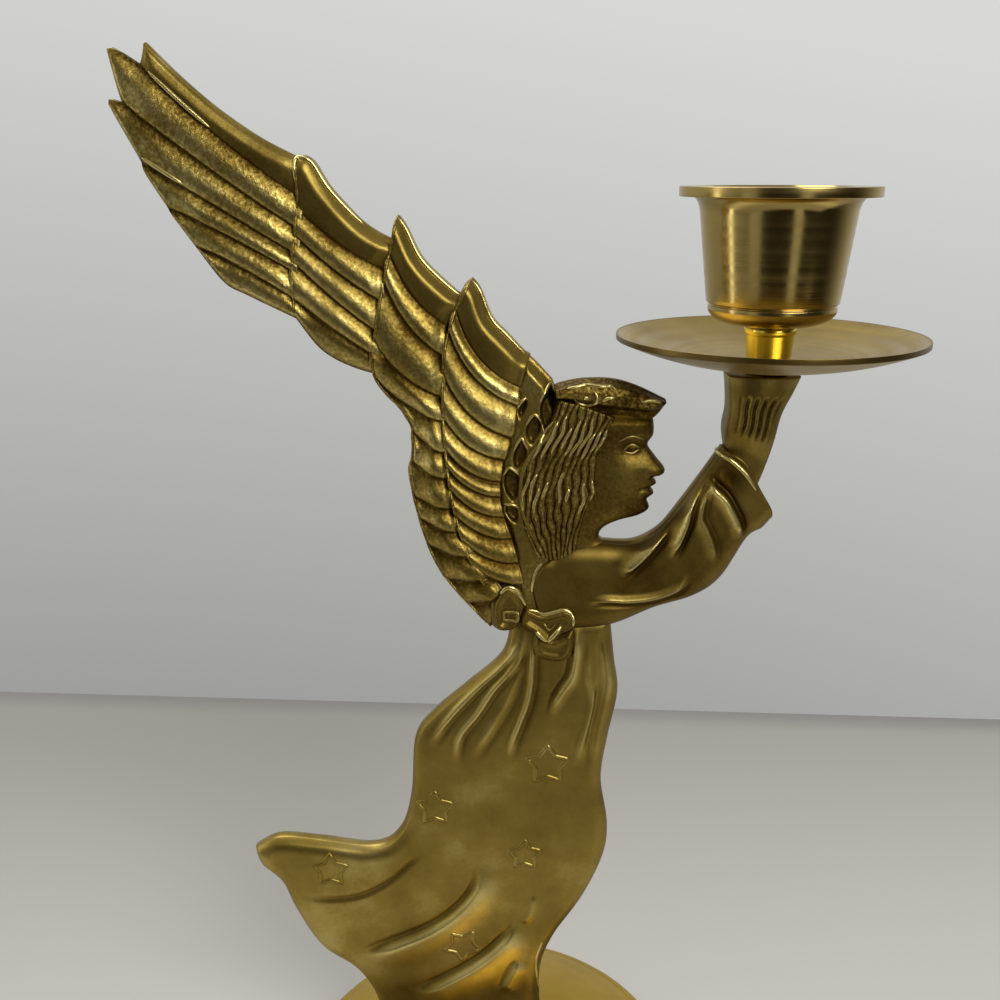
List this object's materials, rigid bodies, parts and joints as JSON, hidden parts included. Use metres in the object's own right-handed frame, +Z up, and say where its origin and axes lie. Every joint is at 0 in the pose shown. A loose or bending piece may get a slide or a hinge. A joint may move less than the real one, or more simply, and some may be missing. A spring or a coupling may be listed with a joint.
{
  "type": "candlestick",
  "caption": "Brass candlestick: a flat cast angel with a raised feathered wing stands on a round base and holds up a drip pan and a taper candle cup.",
  "frame": {"origin": "on the surface that the base stands on, under the middle of the whole piece", "axes": "+Z up; +X from the wing towards the candle cup, in the plane of the flat figure; +Y square to the figure's faces"},
  "size_m": [0.129, 0.075, 0.1954],
  "materials": {
    "cast_brass": "sand-cast relief, buffed bright on the high places, darker and grainy in the grooves",
    "turned_brass": "turned and polished, with fine rings round the axis",
    "spun_brass": "spun sheet with a satin polish and a thin dull film",
    "plain_brass": "bright polished",
    "screw_steel": "plated, slightly dull"
  },
  "bodies": {
    "root": {"base": "turned_brass", "base_washer": "plain_brass", "base_screw": "screw_steel", "angel_figure": "cast_brass", "hand_collar": "plain_brass", "drip_pan": "spun_brass", "cup_neck": "plain_brass", "candle_cup": "turned_brass", "cup_screw": "screw_steel"}
  },
  "joints": []
}
